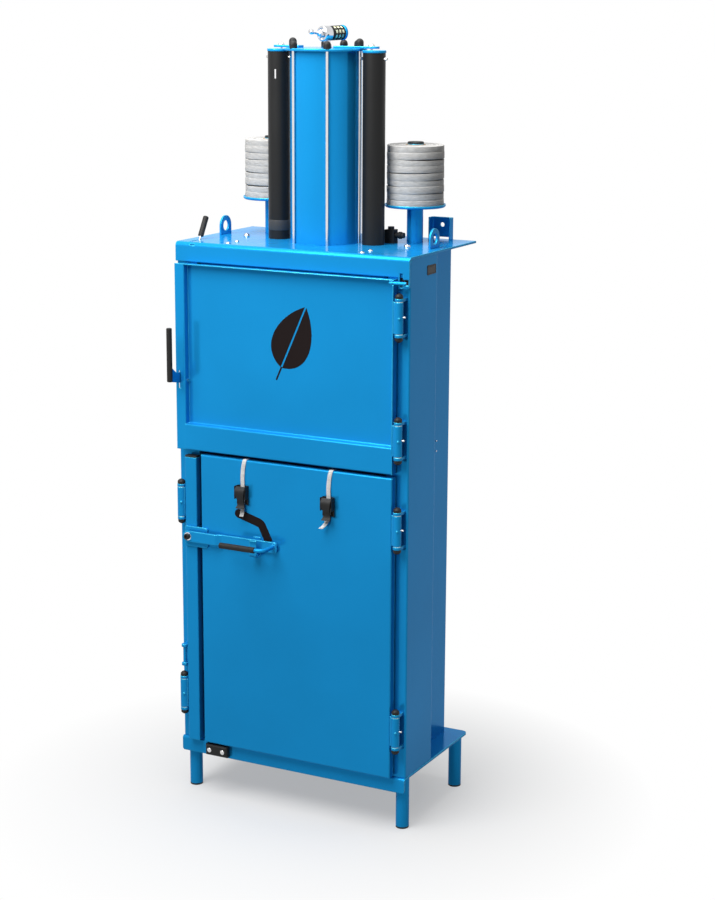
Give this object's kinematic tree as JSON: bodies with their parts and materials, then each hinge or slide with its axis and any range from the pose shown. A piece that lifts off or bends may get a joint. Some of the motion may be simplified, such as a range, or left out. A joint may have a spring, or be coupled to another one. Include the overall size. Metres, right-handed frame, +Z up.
{
  "type": "recycling baler",
  "caption": "Upright pneumatic recycling baler with an air cylinder on top, filling door, bale door with cam lock bar, and strapping rolls on posts.",
  "frame": {"origin": "middle of the machine's box, on the floor", "axes": "+Z up, -Y towards the operator in front of the doors, +X to the operator's right"},
  "size_m": [0.735, 0.5264, 2.229],
  "materials": {
    "body_paint": "gloss powder coat",
    "black_tube_paint": "satin black paint",
    "bright_steel": "zinc plated or ground",
    "machined_aluminium": "machined",
    "polished_chrome": "polished",
    "black_plastic": "moulded matte",
    "black_grip": "soft matte grip",
    "black_steel": "black oxide",
    "woven_strapping": "woven polyester cord strapping"
  },
  "bodies": {
    "frame": {"base_plate": "body_paint", "legs": "body_paint", "leg_feet": "black_plastic", "left_column": "body_paint", "right_column": "body_paint", "chamber_shell": "body_paint", "top_plate": "body_paint", "cylinder_tube": "body_paint", "cylinder_lower_head": "machined_aluminium", "cylinder_cap": "body_paint", "tie_rods": "bright_steel", "tie_rod_nuts": "black_plastic", "guide_tube_left": "black_tube_paint", "guide_tube_right": "black_tube_paint", "guide_caps": "body_paint", "cap_arms": "body_paint", "exhaust_silencer": "polished_chrome", "roll_posts": "body_paint", "post_caps": "black_plastic", "roll_dishes": "body_paint", "lifting_eyes": "body_paint", "wall_brackets": "body_paint", "air_regulator": "black_plastic", "control_valve": "machined_aluminium", "frame_screws": "bright_steel", "hinge_ears": "body_paint", "hinge_bolts": "bright_steel", "hinge_caps": "black_plastic", "latch_striker": "body_paint", "bar_catch_loop": "body_paint", "stop_block": "black_plastic", "interlock_valve": "machined_aluminium"},
    "press": {"piston": "machined_aluminium", "piston_rod": "bright_steel", "platen": "body_paint", "guide_rods": "bright_steel"},
    "roll_left": {"strapping_roll_left": "woven_strapping"},
    "roll_right": {"strapping_roll_right": "woven_strapping"},
    "control_lever": {"control_lever": "bright_steel", "control_lever_grip": "black_grip"},
    "upper_door": {"upper_door": "body_paint", "upper_door_barrels": "body_paint", "interlock_rod": "body_paint", "latch_pin": "bright_steel"},
    "latch_handle": {"latch_plate": "body_paint", "latch_grip": "black_grip"},
    "lower_door": {"lower_door_pan": "body_paint", "lower_door_liner": "body_paint", "lower_door_barrels": "body_paint", "lock_tongue": "body_paint", "lock_pivot_bolt": "black_steel", "lever_keeper": "body_paint", "buckle_bodies": "black_plastic", "strapping_in_buckles": "woven_strapping"},
    "lock_bar": {"lock_bar": "body_paint", "lock_bar_barrels": "body_paint"},
    "lock_lever": {"lock_lever": "body_paint", "crank_grip": "black_grip"},
    "buckle_left": {"buckle_flap_left": "black_plastic"},
    "buckle_right": {"buckle_flap_right": "black_plastic"}
  },
  "joints": [
    {"name": "press_stroke", "type": "slide", "parent": "frame", "child": "press", "axis": [0, 0, -1], "range_m": [0, 0.43]},
    {"name": "roll_left_turn", "type": "hinge", "parent": "frame", "child": "roll_left", "pos_m": [-0.2297, 0.14715, 1.735], "axis": [0, 0, 1], "continuous": true},
    {"name": "roll_right_turn", "type": "hinge", "parent": "frame", "child": "roll_right", "pos_m": [0.2297, 0.14715, 1.735], "axis": [0, 0, 1], "continuous": true},
    {"name": "control_lever_tilt", "type": "hinge", "parent": "frame", "child": "control_lever", "pos_m": [-0.3285, -0.12175, 1.592], "axis": [1, 0, 0], "range_deg": [0, 61]},
    {"name": "upper_door_swing", "type": "hinge", "parent": "frame", "child": "upper_door", "pos_m": [0.347, -0.18425, 1.3035], "axis": [0, 0, 1], "range_deg": [0, 110]},
    {"name": "latch_handle_turn", "type": "hinge", "parent": "upper_door", "child": "latch_handle", "pos_m": [-0.3455, -0.17275, 1.239], "axis": [1, 0, 0], "range_deg": [0, 40]},
    {"name": "lower_door_swing", "type": "hinge", "parent": "frame", "child": "lower_door", "pos_m": [0.347, -0.18425, 0.5945], "axis": [0, 0, 1], "range_deg": [0, 110]},
    {"name": "lock_bar_swing", "type": "hinge", "parent": "frame", "child": "lock_bar", "pos_m": [-0.347, -0.18425, 0.5945], "axis": [0, 0, 1], "range_deg": [-110, 0]},
    {"name": "lock_lever_lift", "type": "hinge", "parent": "lower_door", "child": "lock_lever", "pos_m": [-0.3145, -0.20375, 0.789], "axis": [0, -1, 0], "range_deg": [0, 18]},
    {"name": "buckle_left_lift", "type": "hinge", "parent": "lower_door", "child": "buckle_left", "pos_m": [-0.138, -0.20275, 0.945], "axis": [-1, 0, 0], "range_deg": [0, 80]},
    {"name": "buckle_right_lift", "type": "hinge", "parent": "lower_door", "child": "buckle_right", "pos_m": [0.138, -0.20275, 0.945], "axis": [-1, 0, 0], "range_deg": [0, 80]}
  ],
  "couplings": [
    {"joint": "lock_bar_swing", "follows": "lower_door_swing", "ratio": -1}
  ]
}
